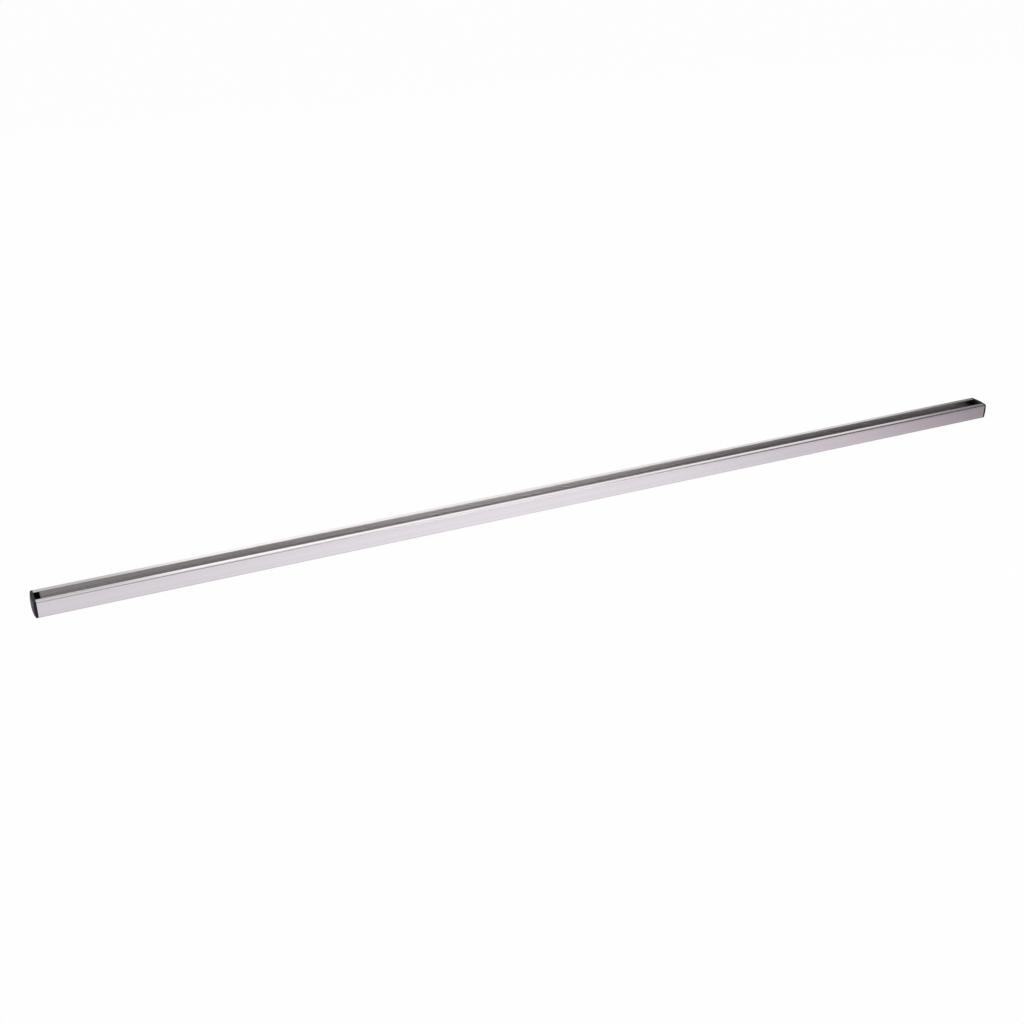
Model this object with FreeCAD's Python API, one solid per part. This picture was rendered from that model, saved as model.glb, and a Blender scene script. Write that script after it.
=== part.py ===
# Roof tent mounting rail: an aluminium extrusion with a channel that is open along its top between two lips, above
# a hollow chamber, closed at each end by a push-in moulded cap. Millimetres. +X runs along the rail, +Z is up and
# the slot opens upwards. The origin is under the middle of the rail, on the surface that it lies on.
import FreeCAD
import Part
import math
import os

Vector = FreeCAD.Vector

# Driving dimensions: the extrusion
rail_length = 1950.0
rail_width = 45.0
rail_height = 30.0
wall_thickness = 2.5
channel_depth = 12.5
web_thickness = 2.5
base_thickness = 2.5
lip_thickness = 2.5
lip_overhang = 7.5
outer_corner_radius = 2.5
inner_corner_radius = 1.0
lip_edge_radius = 0.8

# Driving dimensions: the end caps
cap_rim = 3.5
cap_crown = 4.0
cap_edge_radius = 1.5
seam_chamfer = 0.3
plug_length = 10.0
plug_wall = 2.0
plug_clearance = 0.1

# Places that follow from them
end_x = rail_length / 2
half_width = rail_width / 2
cavity_half = half_width - wall_thickness
mouth_half = cavity_half - lip_overhang
lip_underside = rail_height - lip_thickness
channel_floor = rail_height - channel_depth
chamber_top = channel_floor - web_thickness


def rounded_corner(before, corner, after, radius):
    """The tangent arc that rounds one corner of an outline, as its start, middle and end points."""
    back = (before - corner).normalize()
    ahead = (after - corner).normalize()
    half_angle = back.getAngle(ahead) / 2
    trim = radius / math.tan(half_angle)
    inward = (back + ahead).normalize()
    centre = corner + inward * (radius / math.sin(half_angle))
    return corner + back * trim, centre - inward * radius, corner + ahead * trim


def section_face(x, outline):
    """A flat face at this x from corners given as (y, z, radius); a radius of 0 leaves the corner sharp."""
    corners = [Vector(x, y, z) for y, z, radius in outline]
    radii = [radius for y, z, radius in outline]
    runs = []
    edges = []
    for i, corner in enumerate(corners):
        if radii[i] == 0:
            runs.append((corner, corner))
            continue
        after = corners[(i + 1) % len(corners)]
        start, middle, end = rounded_corner(corners[i - 1], corner, after, radii[i])
        edges.append(Part.Arc(start, middle, end).toShape())
        runs.append((start, end))
    for i, (start, end) in enumerate(runs):
        edges.append(Part.LineSegment(runs[i - 1][1], start).toShape())
    return Part.Face(Part.Wire(Part.__sortEdges__(edges)))


def rectangle(y_half, z_low, z_high, radius):
    """A rectangle centred on the rail's middle plane, as an outline."""
    return [
        (-y_half, z_low, radius),
        (y_half, z_low, radius),
        (y_half, z_high, radius),
        (-y_half, z_high, radius),
    ]


def with_mirror(right):
    """A whole outline from its right half, given from the bottom up the outside and back down the inside."""
    return right + [(-y, z, radius) for y, z, radius in reversed(right)]


def rail_outline():
    """The rail's section without its chamber: web, two walls and the lips that turn in from them."""
    return with_mirror([
        (half_width, 0.0, outer_corner_radius),
        (half_width, rail_height, outer_corner_radius),
        (mouth_half, rail_height, lip_edge_radius),
        (mouth_half, lip_underside, lip_edge_radius),
        (cavity_half, lip_underside, inner_corner_radius),
        (cavity_half, channel_floor, inner_corner_radius),
    ])


def rail():
    """The extrusion, cut square at both ends, with the chamber that runs through it below the channel."""
    along = Vector(rail_length, 0, 0)
    chamber = rectangle(cavity_half, base_thickness, chamber_top, inner_corner_radius)
    body = section_face(-end_x, rail_outline()).extrude(along)
    return body.cut(section_face(-end_x, chamber).extrude(along))


def cap_plate():
    """The plate that covers the right end: flush with the rail's outside, its outer face slightly domed."""
    reach = cap_rim + cap_crown
    outline = rectangle(half_width, 0.0, rail_height, outer_corner_radius)
    slab = section_face(end_x, outline).extrude(Vector(reach + cap_crown, 0, 0))
    half_diagonal = math.hypot(half_width, rail_height / 2)
    dome_radius = (half_diagonal**2 + cap_crown**2) / (2 * cap_crown)
    dome_centre = Vector(end_x + reach - dome_radius, 0, rail_height / 2)
    dome = Part.makeSphere(dome_radius, dome_centre)
    # The sphere's seam line is turned to its far side, so that none crosses the domed face
    dome.rotate(dome_centre, Vector(0, 0, 1), 180)
    plate = slab.common(dome).Solids[0]
    domed = [face for face in plate.Faces if isinstance(face.Surface, Part.Sphere)]
    plate = plate.makeFillet(cap_edge_radius, domed[0].Edges)
    seam = [edge for edge in plate.Edges if abs(edge.BoundBox.XMax - end_x) < 1e-6]
    return plate.makeChamfer(seam_chamfer, seam)


def cap_plug():
    """The plug behind the plate: a floor and two side ribs that press into the channel, open towards the slot."""
    outside = cavity_half - plug_clearance
    inside = outside - plug_wall
    bottom = channel_floor + plug_clearance
    outline = with_mirror([
        (outside, bottom, inner_corner_radius),
        (outside, lip_underside - plug_clearance, inner_corner_radius),
        (inside, lip_underside - plug_clearance, 0),
        (inside, bottom + plug_wall, inner_corner_radius),
    ])
    return section_face(end_x - plug_length, outline).extrude(Vector(plug_length, 0, 0))


def end_cap():
    """One moulding: the plate and its plug."""
    return cap_plate().fuse(cap_plug()).removeSplitter()


right_cap = end_cap()
left_cap = right_cap.rotated(Vector(0, 0, 0), Vector(0, 0, 1), 180)

os.makedirs("parts", exist_ok=True)
rail().exportStep("parts/rail_extrusion.step")
left_cap.exportStep("parts/left_end_cap.step")
right_cap.exportStep("parts/right_end_cap.step")
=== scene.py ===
import bmesh
import bpy
import math
import mathutils
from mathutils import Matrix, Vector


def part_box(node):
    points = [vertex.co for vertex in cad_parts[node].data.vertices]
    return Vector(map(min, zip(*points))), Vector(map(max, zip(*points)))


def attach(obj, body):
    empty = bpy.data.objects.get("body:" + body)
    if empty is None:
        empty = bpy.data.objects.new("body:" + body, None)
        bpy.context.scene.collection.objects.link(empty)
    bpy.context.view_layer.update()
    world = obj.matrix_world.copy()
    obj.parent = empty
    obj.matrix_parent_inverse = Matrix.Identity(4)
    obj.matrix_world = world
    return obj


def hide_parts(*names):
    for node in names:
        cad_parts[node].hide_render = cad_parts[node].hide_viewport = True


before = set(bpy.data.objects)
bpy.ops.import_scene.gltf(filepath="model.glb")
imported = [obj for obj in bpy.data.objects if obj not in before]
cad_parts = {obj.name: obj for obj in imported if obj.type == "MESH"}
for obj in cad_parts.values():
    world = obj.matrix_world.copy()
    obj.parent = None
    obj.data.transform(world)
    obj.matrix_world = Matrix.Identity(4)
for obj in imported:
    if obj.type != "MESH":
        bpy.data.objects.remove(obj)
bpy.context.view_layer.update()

# Rail extrusion: a channel, open along its top between two wide in-turned lips, above a hollow chamber.
# Aluminium pressed hot through a die, stretched straight, sawn square, deburred at both ends and anodised
# in its natural silver. The end caps push into it and nothing else is fixed to it.
mm = 0.001
rail_low, rail_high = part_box("rail_extrusion")
rail_length = rail_high.x - rail_low.x
rail_width = rail_high.y - rail_low.y
rail_height = rail_high.z - rail_low.z
half_width = rail_width / 2
wall_thickness = 2.5 * mm
channel_depth = 12.5 * mm
web_thickness = 2.5 * mm
base_thickness = 2.5 * mm
lip_thickness = 2.5 * mm
lip_overhang = 7.5 * mm
cavity_half = half_width - wall_thickness
mouth_half = cavity_half - lip_overhang
lip_underside = rail_height - lip_thickness
channel_floor = rail_height - channel_depth
chamber_top = channel_floor - web_thickness
outer_corner_radius = 2.5 * mm
inner_corner_radius = 1.0 * mm
lip_edge_radius = 0.8 * mm
deburr = 0.15 * mm

# Steps round each corner, and limits for the same place, a straight run, an end face and a sharp edge
outer_corner_steps = 8
inner_corner_steps = 5
lip_edge_steps = 4
near = 0.01 * mm
straight_run = math.radians(179)
end_facing = 0.9
sharp_edge = math.radians(35)


def pick(kind, test):
    """Selects, in edit mode, only the points, edges or faces that pass the test."""
    bpy.ops.mesh.select_mode(type={"verts": "VERT", "edges": "EDGE", "faces": "FACE"}[kind])
    bpy.ops.mesh.select_all(action="DESELECT")
    edited = bpy.context.edit_object.data
    mesh = bmesh.from_edit_mesh(edited)
    for item in getattr(mesh, kind):
        if test(item):
            item.select_set(True)
    bmesh.update_edit_mesh(edited)


def cut_across(axis, place):
    """Cuts the selected faces along a plane square to the axis."""
    normal = {"Y": (0, 1, 0), "Z": (0, 0, 1)}[axis]
    point = tuple(place * n for n in normal)
    bpy.ops.mesh.bisect(plane_co=point, plane_no=normal, threshold=near)


def add_plate(name, x):
    """A flat plate of the rail's full width and height, standing across it at this x."""
    bpy.ops.object.select_all(action="DESELECT")
    middle = (x, 0, rail_height / 2)
    bpy.ops.mesh.primitive_plane_add(size=1, location=middle, rotation=(0, math.pi / 2, 0))
    plate = bpy.context.object
    plate.name = name
    plate.scale = (rail_height, rail_width, 1)
    bpy.ops.object.transform_apply(location=True, rotation=True, scale=True)
    return plate


def is_straight(point):
    """Whether a point of a bare outline lies on a straight run, between corners."""
    there, back = (edge.other_vert(point).co - point.co for edge in point.link_edges)
    return there.angle(back) > straight_run


def cut_outline(cuts, in_section, corners):
    """Cuts the plate in edit mode down to the bare outline of a section, and rounds its corners."""
    for axis, place in cuts:
        bpy.ops.mesh.select_all(action="SELECT")
        cut_across(axis, place)
    pick("faces", lambda face: not in_section(face.calc_center_median()))
    bpy.ops.mesh.delete(type="FACE")
    pick("edges", lambda edge: not edge.is_boundary)
    bpy.ops.mesh.delete(type="EDGE")
    pick("verts", is_straight)
    bpy.ops.mesh.dissolve_verts()
    for y, z, radius, steps in corners:
        pick("verts", lambda point: abs(abs(point.co.y) - y) < near and abs(point.co.z - z) < near)
        bpy.ops.mesh.bevel(offset=radius, segments=steps, affect="VERTICES")


def in_the_metal(spot):
    """Whether a spot of the section lies outside the chamber, the channel and its mouth."""
    if spot.z > lip_underside:
        return abs(spot.y) > mouth_half
    hollow = spot.z > channel_floor or base_thickness < spot.z < chamber_top
    return abs(spot.y) > cavity_half or not hollow


# The die's opening: the section's outline with its rounded corners, filled round the chamber and drawn out
rail = add_plate("rail_channel", rail_low.x + deburr)
bpy.ops.object.mode_set(mode="EDIT")
cut_outline(
    [
        ("Y", cavity_half), ("Y", -cavity_half), ("Y", mouth_half), ("Y", -mouth_half),
        ("Z", base_thickness), ("Z", chamber_top), ("Z", channel_floor), ("Z", lip_underside),
    ],
    in_the_metal,
    [
        (half_width, 0, outer_corner_radius, outer_corner_steps),
        (half_width, rail_height, outer_corner_radius, outer_corner_steps),
        (cavity_half, base_thickness, inner_corner_radius, inner_corner_steps),
        (cavity_half, chamber_top, inner_corner_radius, inner_corner_steps),
        (cavity_half, channel_floor, inner_corner_radius, inner_corner_steps),
        (cavity_half, lip_underside, inner_corner_radius, inner_corner_steps),
        (mouth_half, rail_height, lip_edge_radius, lip_edge_steps),
        (mouth_half, lip_underside, lip_edge_radius, lip_edge_steps),
    ],
)
bpy.ops.mesh.select_all(action="SELECT")
bpy.ops.mesh.fill()
bpy.ops.mesh.select_all(action="SELECT")
bpy.ops.mesh.extrude_region_move(TRANSFORM_OT_translate={"value": (rail_length - 2 * deburr, 0, 0)})
bpy.ops.mesh.select_all(action="SELECT")
bpy.ops.mesh.normals_make_consistent(inside=False)

# Both sawn ends, with their sharp edge taken off
pick("faces", lambda face: abs(face.normal.x) > end_facing)
bpy.ops.mesh.inset(thickness=deburr, depth=deburr)
bpy.ops.object.mode_set(mode="OBJECT")


def finish_smooth(piece):
    """Shades a piece smooth between its sharp edges, with its flat faces kept flat."""
    bpy.ops.object.select_all(action="DESELECT")
    piece.select_set(True)
    bpy.context.view_layer.objects.active = piece
    bpy.ops.object.shade_smooth_by_angle(angle=sharp_edge)
    bpy.ops.object.modifier_add(type="WEIGHTED_NORMAL")
    piece.modifiers[-1].keep_sharp = True
    bpy.ops.object.modifier_apply(modifier=piece.modifiers[-1].name)


finish_smooth(rail)


def linear(hex_colour):
    """The linear colour of an sRGB hex value."""
    shares = [int(hex_colour[i:i + 2], 16) / 255 for i in (1, 3, 5)]
    return tuple(s / 12.92 if s <= 0.04045 else ((s + 0.055) / 1.055) ** 2.4 for s in shares) + (1.0,)


def add_node(tree, kind, settings=None, **links):
    """Adds a node, sets its properties and inputs, and links named inputs from other nodes' outputs."""
    node = tree.nodes.new(kind)
    for name, value in (settings or {}).items():
        if hasattr(node, name):
            setattr(node, name, value)
        else:
            node.inputs[name].default_value = value
    for name, source in links.items():
        tree.links.new(source, node.inputs[name.replace("_", " ")])
    return node


# Satin anodised aluminium: an even silver with a faint warm cast, which mirrors its surroundings softly.
# The die leaves fine lines along the whole length, so that the sheen breaks up across the section and not
# along it. Real lines are about 0.1 mm apart, too fine to show, so they are drawn coarser.
silver_dark = "#E0DCDD"
silver_pale = "#E8E4E5"
die_line_spacing = 0.8 * mm
die_line_length = 4000 * mm
die_line_depth = 0.01 * mm
band_spacing = 7 * mm
band_length = 4000 * mm
anodised = bpy.data.materials.new("satin_anodised_aluminium")
anodised.use_nodes = True
tree = anodised.node_tree
shader = tree.nodes["Principled BSDF"]
shader.inputs["Metallic"].default_value = 1.0
shader.inputs["Anisotropic"].default_value = 0.35
place = add_node(tree, "ShaderNodeTexCoord").outputs["Object"]
line_scale = (1 / die_line_length, 1 / die_line_spacing, 1 / die_line_spacing)
lines_at = add_node(tree, "ShaderNodeMapping", {"Scale": line_scale}, Vector=place)
lines = add_node(
    tree, "ShaderNodeTexNoise",
    {"Scale": 1.0, "Detail": 3.0, "Roughness": 0.6}, Vector=lines_at.outputs["Vector"],
)
band_scale = (1 / band_length, 1 / band_spacing, 1 / band_spacing)
bands_at = add_node(tree, "ShaderNodeMapping", {"Scale": band_scale}, Vector=place)
bands = add_node(
    tree, "ShaderNodeTexNoise", {"Scale": 1.0, "Detail": 2.0}, Vector=bands_at.outputs["Vector"]
)
tone = add_node(tree, "ShaderNodeValToRGB", Fac=bands.outputs["Fac"])
tone.color_ramp.elements[0].position = 0.3
tone.color_ramp.elements[0].color = linear(silver_dark)
tone.color_ramp.elements[1].position = 0.7
tone.color_ramp.elements[1].color = linear(silver_pale)
tree.links.new(tone.outputs["Color"], shader.inputs["Base Color"])
gloss = add_node(
    tree, "ShaderNodeMapRange",
    {"From Min": 0.3, "From Max": 0.7, "To Min": 0.25, "To Max": 0.31}, Value=lines.outputs["Fac"],
)
tree.links.new(gloss.outputs["Result"], shader.inputs["Roughness"])
relief = add_node(
    tree, "ShaderNodeBump", {"Strength": 0.15, "Distance": die_line_depth}, Height=lines.outputs["Fac"]
)
tree.links.new(relief.outputs["Normal"], shader.inputs["Normal"])
tangent = add_node(tree, "ShaderNodeTangent", {"direction_type": "RADIAL", "axis": "X"})
tree.links.new(tangent.outputs["Tangent"], shader.inputs["Tangent"])
rail.data.materials.append(anodised)
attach(rail, "root")
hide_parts("rail_extrusion")

# End caps: a domed plate, flush with the rail's outside, with a plug behind it of a floor and two side
# ribs, open towards the slot. Each is one injection moulding in black polypropylene, pushed in and held
# by friction.
cap_low, cap_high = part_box("right_end_cap")
cap_rim = 3.5 * mm
cap_crown = cap_high.x - rail_high.x - cap_rim
cap_edge_radius = 1.5 * mm
cap_edge_steps = 6
seam_chamfer = 0.3 * mm
plug_wall = 2.0 * mm
plug_clearance = 0.1 * mm
plug_corner_steps = 4
plug_half = cavity_half - plug_clearance
plug_bottom = channel_floor + plug_clearance
plug_top = lip_underside - plug_clearance
rib_inside = plug_half - plug_wall
plug_floor = plug_bottom + plug_wall
cap_centre_z = rail_height / 2
half_diagonal = math.hypot(half_width, cap_centre_z)
dome_radius = (half_diagonal**2 + cap_crown**2) / (2 * cap_crown)
dome_step = 2.5 * mm

# The plate: a rounded rectangle with a grid of cuts to carry the dome, drawn out to the rim
right_cap = add_plate("end_cap_right", rail_high.x)
bpy.ops.object.mode_set(mode="EDIT")
bpy.ops.mesh.select_mode(type="VERT")
bpy.ops.mesh.select_all(action="SELECT")
bpy.ops.mesh.bevel(offset=outer_corner_radius, segments=outer_corner_steps, affect="VERTICES")
for axis, reach, middle in (("Y", half_width, 0.0), ("Z", cap_centre_z, cap_centre_z)):
    count = math.ceil(reach / dome_step) - 1
    for index in range(-count, count + 1):
        bpy.ops.mesh.select_all(action="SELECT")
        cut_across(axis, middle + index * dome_step)
bpy.ops.mesh.select_all(action="SELECT")
bpy.ops.mesh.extrude_region_move(TRANSFORM_OT_translate={"value": (cap_rim, 0, 0)})
bpy.ops.mesh.select_all(action="SELECT")
bpy.ops.mesh.normals_make_consistent(inside=False)


def faces_end(x, side):
    """A test for flat faces at this x that look along +X or -X."""
    return lambda face: face.normal.x * side > end_facing and abs(face.calc_center_median().x - x) < near


# A plain back, with a fine chamfer where it meets the rail
pick("faces", faces_end(rail_high.x, -1))
bpy.ops.mesh.dissolve_faces()
pick("edges", lambda edge: all(abs(v.co.x - rail_high.x) < near for v in edge.verts))
bpy.ops.mesh.bevel(offset=seam_chamfer, segments=1, affect="EDGES")

# The outer face: rings for its rounded edge, then every point drawn in to the dome and the rounding
inset_so_far = 0.0
pick("faces", faces_end(rail_high.x + cap_rim, 1))
for step in range(1, cap_edge_steps + 1):
    inset = cap_edge_radius * (1 - math.cos(step / cap_edge_steps * math.pi / 2))
    bpy.ops.mesh.inset(thickness=inset - inset_so_far)
    inset_so_far = inset
bpy.ops.object.mode_set(mode="OBJECT")


def way_to_edge(y, z):
    """How far a point of the cap's face, given from its centre, lies in from the edge, and the way out."""
    corner_y = y - (half_width - outer_corner_radius)
    corner_z = z - (cap_centre_z - outer_corner_radius)
    if corner_y > 0 and corner_z > 0:
        out = math.hypot(corner_y, corner_z)
        return outer_corner_radius - out, corner_y / out, corner_z / out
    if corner_y > corner_z:
        return outer_corner_radius - corner_y, 1.0, 0.0
    return outer_corner_radius - corner_z, 0.0, 1.0


# Near the edge a ball of the edge's radius lies against the wall and the dome, and the face follows it
for vertex in right_cap.data.vertices:
    if abs(vertex.co.x - rail_high.x - cap_rim) < near:
        y = abs(vertex.co.y)
        z = abs(vertex.co.z - cap_centre_z)
        above_centre = math.sqrt(dome_radius**2 - y**2 - z**2)
        vertex.co.x = cap_high.x - dome_radius + above_centre
        distance, out_y, out_z = way_to_edge(y, z)
        slope = (y * out_y + z * out_z) / above_centre
        from_ball = cap_edge_radius - distance
        if from_ball > cap_edge_radius * slope / math.hypot(1, slope):
            ball_rise = math.sqrt(max(0.0, cap_edge_radius**2 - from_ball**2))
            vertex.co.x -= cap_edge_radius * math.hypot(1, slope) - slope * from_ball - ball_rise


def in_the_plug(spot):
    """Whether a spot behind the plate lies in the plug's floor or in one of its ribs."""
    if abs(spot.y) > plug_half or not plug_bottom < spot.z < plug_top:
        return False
    return spot.z < plug_floor or abs(spot.y) > rib_inside


# The plug: the outline of its floor and ribs, set in the plate's open back, which is filled round it, and
# then drawn out into the channel
add_plate("plug_outline", rail_high.x)
bpy.ops.object.mode_set(mode="EDIT")
cut_outline(
    [
        ("Y", plug_half), ("Y", -plug_half), ("Y", rib_inside), ("Y", -rib_inside),
        ("Z", plug_bottom), ("Z", plug_floor), ("Z", plug_top),
    ],
    in_the_plug,
    [
        (plug_half, plug_bottom, inner_corner_radius, plug_corner_steps),
        (plug_half, plug_top, inner_corner_radius, plug_corner_steps),
        (rib_inside, plug_floor, inner_corner_radius, plug_corner_steps),
    ],
)
bpy.ops.object.mode_set(mode="OBJECT")
right_cap.select_set(True)
bpy.context.view_layer.objects.active = right_cap
bpy.ops.object.join()
bpy.ops.object.mode_set(mode="EDIT")
pick("faces", faces_end(rail_high.x, -1))
bpy.ops.mesh.delete(type="ONLY_FACE")
pick("edges", lambda edge: edge.is_boundary or edge.is_wire)
bpy.ops.mesh.fill()
pick("edges", lambda edge: edge.is_boundary)
bpy.ops.mesh.extrude_region_move(TRANSFORM_OT_translate={"value": (cap_low.x - rail_high.x, 0, 0)})
bpy.ops.mesh.fill()
bpy.ops.mesh.select_all(action="SELECT")
bpy.ops.mesh.normals_make_consistent(inside=False)
bpy.ops.object.mode_set(mode="OBJECT")
finish_smooth(right_cap)

# Moulded black polypropylene: a deep black with a spark-eroded grain, so that its sheen is soft, and pale
# only where it is seen at a low angle. The real grain is about 0.1 mm, too fine to show, so it is drawn
# coarser.
black_deep = "#0C0A0D"
black_pale = "#141115"
grain_size = 0.5 * mm
grain_depth = 0.03 * mm
black_plastic = bpy.data.materials.new("moulded_black_polypropylene")
black_plastic.use_nodes = True
tree = black_plastic.node_tree
shader = tree.nodes["Principled BSDF"]
shader.inputs["IOR"].default_value = 1.49
shader.inputs["Specular IOR Level"].default_value = 0.3
place = add_node(tree, "ShaderNodeTexCoord").outputs["Object"]
grain = add_node(tree, "ShaderNodeTexNoise", {"Scale": 1 / grain_size, "Detail": 2.0}, Vector=place)
depth = add_node(tree, "ShaderNodeValToRGB", Fac=grain.outputs["Fac"])
depth.color_ramp.elements[0].position = 0.35
depth.color_ramp.elements[0].color = linear(black_deep)
depth.color_ramp.elements[1].position = 0.65
depth.color_ramp.elements[1].color = linear(black_pale)
tree.links.new(depth.outputs["Color"], shader.inputs["Base Color"])
sheen = add_node(
    tree, "ShaderNodeMapRange",
    {"From Min": 0.3, "From Max": 0.7, "To Min": 0.36, "To Max": 0.46}, Value=grain.outputs["Fac"],
)
tree.links.new(sheen.outputs["Result"], shader.inputs["Roughness"])
relief = add_node(
    tree, "ShaderNodeBump", {"Strength": 0.4, "Distance": grain_depth}, Height=grain.outputs["Fac"]
)
tree.links.new(relief.outputs["Normal"], shader.inputs["Normal"])
right_cap.data.materials.append(black_plastic)

# The left cap is the same moulding, turned end for end
bpy.ops.object.select_all(action="DESELECT")
right_cap.select_set(True)
bpy.context.view_layer.objects.active = right_cap
bpy.ops.object.duplicate()
left_cap = bpy.context.object
left_cap.name = "end_cap_left"
left_cap.rotation_euler = (0, 0, math.pi)
bpy.ops.object.transform_apply(location=True, rotation=True, scale=True)
for cap, node in ((right_cap, "right_end_cap"), (left_cap, "left_end_cap")):
    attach(cap, "root")
    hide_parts(node)

# Floor: a plain white sweep that the rail lies on. The camera sees it as white paper. The metal mirrors it
# too, and there it shows a painted pool of light, brightest in front of the rail's middle, which falls off
# to the right with a painted faint violet cast, and a painted shadow that dims it close beside the rail.
# Its share of diffuse white keeps the rail's real soft shadow.
floor_size = 60.0
white_share = 0.97
# Painted pool of light that only the metal's reflections see: its reach along the rail and its ends'
# brightness
painted_pool_reach = 1.1
painted_pool_left = 0.8
painted_pool_right = 0.27
# Painted contact shadow in the mirrored floor: its width, and the brightness in it and beyond it
painted_shadow_width = 6 * mm
painted_shadow_level = 0.8
beyond_painted_shadow = 1.065
# Where the painted violet cast in the reflection begins, along the rail
painted_violet_from = 0.6
bpy.ops.object.select_all(action="DESELECT")
bpy.ops.mesh.primitive_plane_add(size=floor_size, location=(0, 0, 0))
floor = bpy.context.object
floor.name = "studio_floor"
paper = bpy.data.materials.new("white_paper_sweep")
paper.use_nodes = True
tree = paper.node_tree
tree.nodes.clear()
out = add_node(tree, "ShaderNodeOutputMaterial")
rays = add_node(tree, "ShaderNodeLightPath")
place = add_node(tree, "ShaderNodeTexCoord").outputs["Object"]
along = add_node(tree, "ShaderNodeSeparateXYZ", Vector=place)
across = add_node(
    tree, "ShaderNodeMapRange",
    {"From Min": -painted_pool_reach, "From Max": painted_pool_reach}, Value=along.outputs["X"],
)
# Painted pool of light along the floor, brightest in front of the rail's middle, seen only in reflections
painted_pool = add_node(tree, "ShaderNodeValToRGB", Fac=across.outputs["Result"])
painted_pool.color_ramp.elements[0].color = (painted_pool_left, painted_pool_left, painted_pool_left, 1)
painted_pool.color_ramp.elements[1].color = (painted_pool_right, painted_pool_right, painted_pool_right, 1)
for stop, brightness in ((0.30, 0.95), (0.46, 1.0), (0.62, 0.9), (0.80, 0.68)):
    painted_pool.color_ramp.elements.new(stop).color = (brightness, brightness, brightness, 1)
# Painted contact shadow: the mirrored floor is dimmed close beside the rail
beside = add_node(tree, "ShaderNodeMath", {"operation": "ABSOLUTE"}, Value=along.outputs["Y"])
painted_contact_shadow = add_node(
    tree, "ShaderNodeMapRange",
    {
        "From Min": half_width, "From Max": half_width + painted_shadow_width,
        "To Min": painted_shadow_level, "To Max": beyond_painted_shadow,
    },
    Value=beside.outputs["Value"],
)
painted_pool_shaded = add_node(tree, "ShaderNodeMath", {"operation": "MULTIPLY"})
tree.links.new(painted_pool.outputs["Color"], painted_pool_shaded.inputs[0])
tree.links.new(painted_contact_shadow.outputs["Result"], painted_pool_shaded.inputs[1])
# Glow strength: plain white for the camera, the painted pool of light and shadow for reflections
painted_reflection_level = add_node(
    tree, "ShaderNodeMapRange", {"To Min": 1.0},
    Value=rays.outputs["Is Glossy Ray"], To_Max=painted_pool_shaded.outputs["Value"],
)
# Painted violet cast in the metal's reflection of the floor, growing to the right; the camera sees plain
# white
painted_violet_at = add_node(
    tree, "ShaderNodeMapRange",
    {"From Min": painted_violet_from, "To Min": 0.5, "To Max": 1.0}, Value=across.outputs["Result"],
)
painted_tint_at = add_node(
    tree, "ShaderNodeMapRange",
    Value=rays.outputs["Is Glossy Ray"], To_Max=painted_violet_at.outputs["Result"],
)
painted_tint = add_node(tree, "ShaderNodeValToRGB", Fac=painted_tint_at.outputs["Result"])
painted_tint.color_ramp.elements[0].color = linear("#FFFFFF")
painted_tint.color_ramp.elements[1].color = linear("#FFF1FE")
painted_tint.color_ramp.elements.new(0.5).color = linear("#FBF8FF")
glow = add_node(
    tree, "ShaderNodeEmission", Color=painted_tint.outputs["Color"], Strength=painted_reflection_level.outputs["Result"]
)
plain = add_node(tree, "ShaderNodeBsdfDiffuse", {"Color": linear("#F2F2F2")})
seen = rays.outputs["Is Camera Ray"]
for kind in ("Is Glossy Ray", "Is Transmission Ray"):
    either = add_node(tree, "ShaderNodeMath", {"operation": "MAXIMUM"})
    tree.links.new(seen, either.inputs[0])
    tree.links.new(rays.outputs[kind], either.inputs[1])
    seen = either.outputs["Value"]
share = add_node(tree, "ShaderNodeMapRange", {"To Max": white_share}, Value=seen)
mixed = add_node(tree, "ShaderNodeMixShader", Fac=share.outputs["Result"])
tree.links.new(plain.outputs["BSDF"], mixed.inputs[1])
tree.links.new(glow.outputs["Emission"], mixed.inputs[2])
tree.links.new(mixed.outputs["Shader"], out.inputs["Surface"])
floor.data.materials.append(paper)

# Studio: a pale surround, brightest to the left of the rail and dim to the right and in front, so that the
# rail's rounded corner draws a thin dark line towards its ends. The camera sees it white. Large soft lamps
# stand round it.
bright_side = (-0.72, 0.17, 0.25)
dim_facing = -0.385
bright_facing = 0.585
dim_level = 0.03
world = bpy.data.worlds.new("studio_surround")
bpy.context.scene.world = world
world.use_nodes = True
tree = world.node_tree
surround = tree.nodes["Background"]
surround.inputs["Color"].default_value = linear("#FFFFFF")
direction = add_node(tree, "ShaderNodeTexCoord").outputs["Generated"]
facing = add_node(tree, "ShaderNodeVectorMath", {"operation": "DOT_PRODUCT"})
tree.links.new(direction, facing.inputs[0])
facing.inputs[1].default_value = bright_side
level = add_node(
    tree, "ShaderNodeMapRange",
    {"From Min": dim_facing, "From Max": bright_facing, "To Min": dim_level, "To Max": 1.0},
    Value=facing.outputs["Value"],
)
rays = add_node(tree, "ShaderNodeLightPath")
seen = add_node(tree, "ShaderNodeMath", {"operation": "MAXIMUM"})
tree.links.new(rays.outputs["Is Camera Ray"], seen.inputs[0])
tree.links.new(rays.outputs["Is Transmission Ray"], seen.inputs[1])
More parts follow.
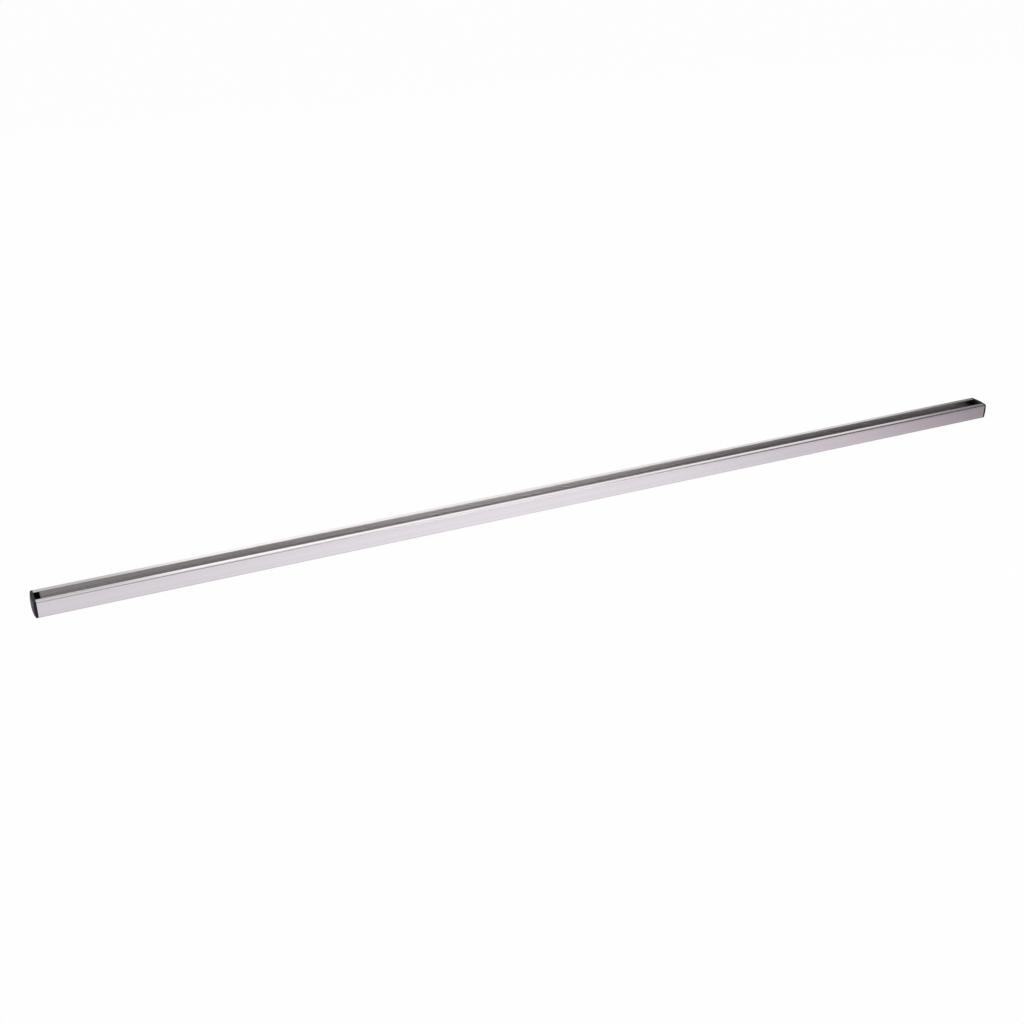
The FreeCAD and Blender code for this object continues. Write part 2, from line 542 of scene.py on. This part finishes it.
shown = add_node(
    tree, "ShaderNodeMapRange", {"To Max": 1.0},
    Value=seen.outputs["Value"], To_Min=level.outputs["Result"],
)
tree.links.new(shown.outputs["Result"], surround.inputs["Strength"])


def add_softbox(name, place, aim, size, brightness):
    """A rectangular soft lamp at a place, turned to a point, whose face has this brightness."""
    bpy.ops.object.select_all(action="DESELECT")
    bpy.ops.object.light_add(type="AREA", location=place)
    lamp = bpy.context.object
    lamp.name = name
    lamp.data.shape = "RECTANGLE"
    lamp.data.size, lamp.data.size_y = size
    lamp.data.energy = brightness * math.pi * size[0] * size[1]
    lamp.data.color = linear("#FFFFFF")[:3]
    beam = mathutils.Vector(aim) - mathutils.Vector(place)
    lamp.rotation_euler = beam.to_track_quat("-Z", "Y").to_euler()
    lamp.visible_camera = False


add_softbox("back_softbox", (1.6, 3.0, 1.7), (1.6, 0.0, 0.0), (3.9, 2.0), 0.8)
add_softbox("front_softbox", (0.8, -1.3, 2.1), (-0.1, 0.0, 0.0), (1.2, 1.2), 1.9)
add_softbox("low_softbox", (0.95, -2.6, 0.5), (-0.1, 0.0, 0.0), (1.4, 0.7), 2.5)
add_softbox("top_softbox", (0.1, 0.3, 2.4), (0.1, 0.0, 0.0), (2.4, 1.2), 0.6)
add_softbox("side_softbox", (3.6, 0.0, 1.0), (0.0, 0.0, 0.0), (2.4, 1.6), 0.7)

# Camera at the photograph's viewing angle: to the left in front of the rail, looking down and to the right
focal_pixels = 1399.7
picture_pixels = 1024
looks_down = 27.231
looks_right = 24.721
camera_data = bpy.data.cameras.new("camera")
camera = bpy.data.objects.new("camera", camera_data)
bpy.context.scene.collection.objects.link(camera)
camera_data.sensor_width = 36.0
camera_data.lens = focal_pixels * camera_data.sensor_width / picture_pixels
camera_data.clip_end = 200.0
camera.location = (-1.0890, -2.1009, 1.1898)
camera.rotation_euler = (math.radians(90 - looks_down), 0, math.radians(-looks_right))
bpy.context.scene.camera = camera
bpy.context.scene.view_settings.view_transform = "Standard"
